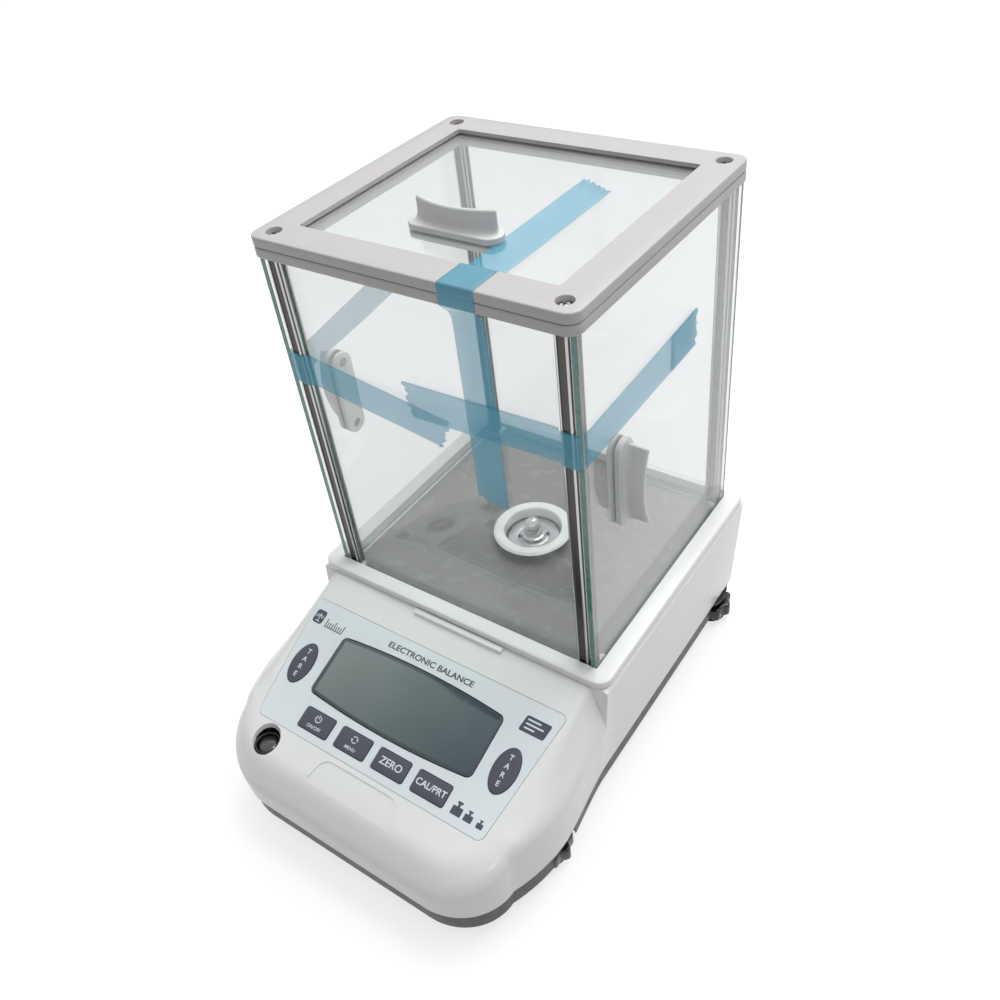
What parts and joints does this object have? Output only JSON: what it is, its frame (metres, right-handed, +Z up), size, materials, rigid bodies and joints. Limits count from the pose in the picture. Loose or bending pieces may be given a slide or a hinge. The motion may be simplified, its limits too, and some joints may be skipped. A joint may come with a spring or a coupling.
{
  "type": "analytical balance",
  "caption": "Analytical balance: a glass draught chamber with sliding side and roof glasses on a housing with a sloping keypad, display, bubble level and levelling feet.",
  "frame": {"origin": "bottom centre of the whole balance, on the surface it stands on", "axes": "+X to the user's right, +Y from the keypad to the back, +Z up"},
  "size_m": [0.227, 0.33, 0.3552],
  "materials": {
    "white_abs": "glossy moulded",
    "dark_grey_abs": "satin moulded",
    "floor_grey": "smooth grey",
    "clear_glass": "clear, green-blue at the edges",
    "aluminium": "bright drawn",
    "steel": "satin",
    "chrome": "polished",
    "membrane_film": "satin film",
    "key_dark": "satin",
    "window_tint": "glossy tinted",
    "lcd_module": "glossy",
    "circuit_board": "solder mask",
    "black_plastic": "glossy",
    "rubber": "matte"
  },
  "bodies": {
    "housing": {"base_tray": "dark_grey_abs", "cell_base_plate": "steel", "chamber_floor": "floor_grey", "dc_inlet": "black_plastic", "deck_frame": "white_abs", "display_board": "circuit_board", "frame_screw_front_left": "steel", "frame_screw_front_right": "steel", "frame_screw_rear_left": "steel", "frame_screw_rear_right": "steel", "glass_front": "clear_glass", "glass_rear": "clear_glass", "lcd_module": "lcd_module", "lcd_window": "window_tint", "level_cup": "black_plastic", "level_vial": "clear_glass", "main_board": "circuit_board", "panel_label": "membrane_film", "post_front_left": "aluminium", "post_front_right": "aluminium", "post_rear_left": "aluminium", "post_rear_right": "aluminium", "ring_collar": "white_abs", "serial_port": "steel", "top_frame_lower": "white_abs", "top_frame_upper": "white_abs", "top_shell": "white_abs", "weighing_cell": "aluminium"},
    "left_door": {"glass_left": "clear_glass", "handle_left_grip": "white_abs", "handle_left_backing": "white_abs", "handle_left_screw_front": "steel", "handle_left_screw_rear": "steel"},
    "right_door": {"glass_right": "clear_glass", "handle_right_grip": "white_abs", "handle_right_backing": "white_abs", "handle_right_screw_front": "steel", "handle_right_screw_rear": "steel"},
    "top_door": {"glass_top": "clear_glass", "handle_top_grip": "white_abs", "handle_top_backing": "white_abs", "handle_top_screw_front": "steel", "handle_top_screw_rear": "steel"},
    "weighing_stud": {"pan_stud": "chrome", "carrier_disc": "floor_grey"},
    "key_power_body": {"key_power": "key_dark"},
    "key_menu_body": {"key_menu": "key_dark"},
    "key_zero_body": {"key_zero": "key_dark"},
    "key_cal_print_body": {"key_cal_print": "key_dark"},
    "key_tare_left_body": {"key_tare_left": "key_dark"},
    "key_tare_right_body": {"key_tare_right": "key_dark"},
    "foot_stand_front_left": {"foot_pad_front_left": "rubber"},
    "foot_wheel_front_left": {"foot_knob_front_left": "black_plastic"},
    "foot_stand_front_right": {"foot_pad_front_right": "rubber"},
    "foot_wheel_front_right": {"foot_knob_front_right": "black_plastic"},
    "foot_stand_rear_left": {"foot_pad_rear_left": "rubber"},
    "foot_wheel_rear_left": {"foot_knob_rear_left": "black_plastic"},
    "foot_stand_rear_right": {"foot_pad_rear_right": "rubber"},
    "foot_wheel_rear_right": {"foot_knob_rear_right": "black_plastic"}
  },
  "joints": [
    {"name": "left_door_slide", "type": "slide", "parent": "housing", "child": "left_door", "axis": [0, 1, 0], "range_m": [0, 0.122]},
    {"name": "right_door_slide", "type": "slide", "parent": "housing", "child": "right_door", "axis": [0, 1, 0], "range_m": [0, 0.122]},
    {"name": "top_door_slide", "type": "slide", "parent": "housing", "child": "top_door", "axis": [0, 1, 0], "range_m": [0, 0.103]},
    {"name": "key_power_press", "type": "slide", "parent": "housing", "child": "key_power_body", "axis": [0, 0.3219, -0.9468], "range_m": [0, 0.0005], "stiffness_N_per_m": 3000},
    {"name": "key_menu_press", "type": "slide", "parent": "housing", "child": "key_menu_body", "axis": [0, 0.3219, -0.9468], "range_m": [0, 0.0005], "stiffness_N_per_m": 3000},
    {"name": "key_zero_press", "type": "slide", "parent": "housing", "child": "key_zero_body", "axis": [0, 0.3219, -0.9468], "range_m": [0, 0.0005], "stiffness_N_per_m": 3000},
    {"name": "key_cal_print_press", "type": "slide", "parent": "housing", "child": "key_cal_print_body", "axis": [0, 0.3219, -0.9468], "range_m": [0, 0.0005], "stiffness_N_per_m": 3000},
    {"name": "key_tare_left_press", "type": "slide", "parent": "housing", "child": "key_tare_left_body", "axis": [0, 0.3219, -0.9468], "range_m": [0, 0.0005], "stiffness_N_per_m": 3000},
    {"name": "key_tare_right_press", "type": "slide", "parent": "housing", "child": "key_tare_right_body", "axis": [0, 0.3219, -0.9468], "range_m": [0, 0.0005], "stiffness_N_per_m": 3000},
    {"name": "stud_sink", "type": "slide", "parent": "housing", "child": "weighing_stud", "axis": [0, 0, -1], "range_m": [0, 0.0004], "stiffness_N_per_m": 20000},
    {"name": "foot_lift_front_left", "type": "slide", "parent": "housing", "child": "foot_stand_front_left", "axis": [0, 0, -1], "range_m": [-0.0012, 0.0012]},
    {"name": "foot_turn_front_left", "type": "hinge", "parent": "foot_stand_front_left", "child": "foot_wheel_front_left", "pos_m": [-0.098, -0.086, 0.012], "axis": [0, 0, 1], "range_deg": [-360, 360]},
    {"name": "foot_lift_front_right", "type": "slide", "parent": "housing", "child": "foot_stand_front_right", "axis": [0, 0, -1], "range_m": [-0.0012, 0.0012]},
    {"name": "foot_turn_front_right", "type": "hinge", "parent": "foot_stand_front_right", "child": "foot_wheel_front_right", "pos_m": [0.098, -0.086, 0.012], "axis": [0, 0, 1], "range_deg": [-360, 360]},
    {"name": "foot_lift_rear_left", "type": "slide", "parent": "housing", "child": "foot_stand_rear_left", "axis": [0, 0, -1], "range_m": [-0.0012, 0.0012]},
    {"name": "foot_turn_rear_left", "type": "hinge", "parent": "foot_stand_rear_left", "child": "foot_wheel_rear_left", "pos_m": [-0.098, 0.141, 0.012], "axis": [0, 0, 1], "range_deg": [-360, 360]},
    {"name": "foot_lift_rear_right", "type": "slide", "parent": "housing", "child": "foot_stand_rear_right", "axis": [0, 0, -1], "range_m": [-0.0012, 0.0012]},
    {"name": "foot_turn_rear_right", "type": "hinge", "parent": "foot_stand_rear_right", "child": "foot_wheel_rear_right", "pos_m": [0.098, 0.141, 0.012], "axis": [0, 0, 1], "range_deg": [-360, 360]}
  ],
  "couplings": [
    {"joint": "foot_turn_front_left", "follows": "foot_lift_front_left", "rad_per_m": 5026.5},
    {"joint": "foot_turn_front_right", "follows": "foot_lift_front_right", "rad_per_m": 5026.5},
    {"joint": "foot_turn_rear_left", "follows": "foot_lift_rear_left", "rad_per_m": 5026.5},
    {"joint": "foot_turn_rear_right", "follows": "foot_lift_rear_right", "rad_per_m": 5026.5}
  ]
}
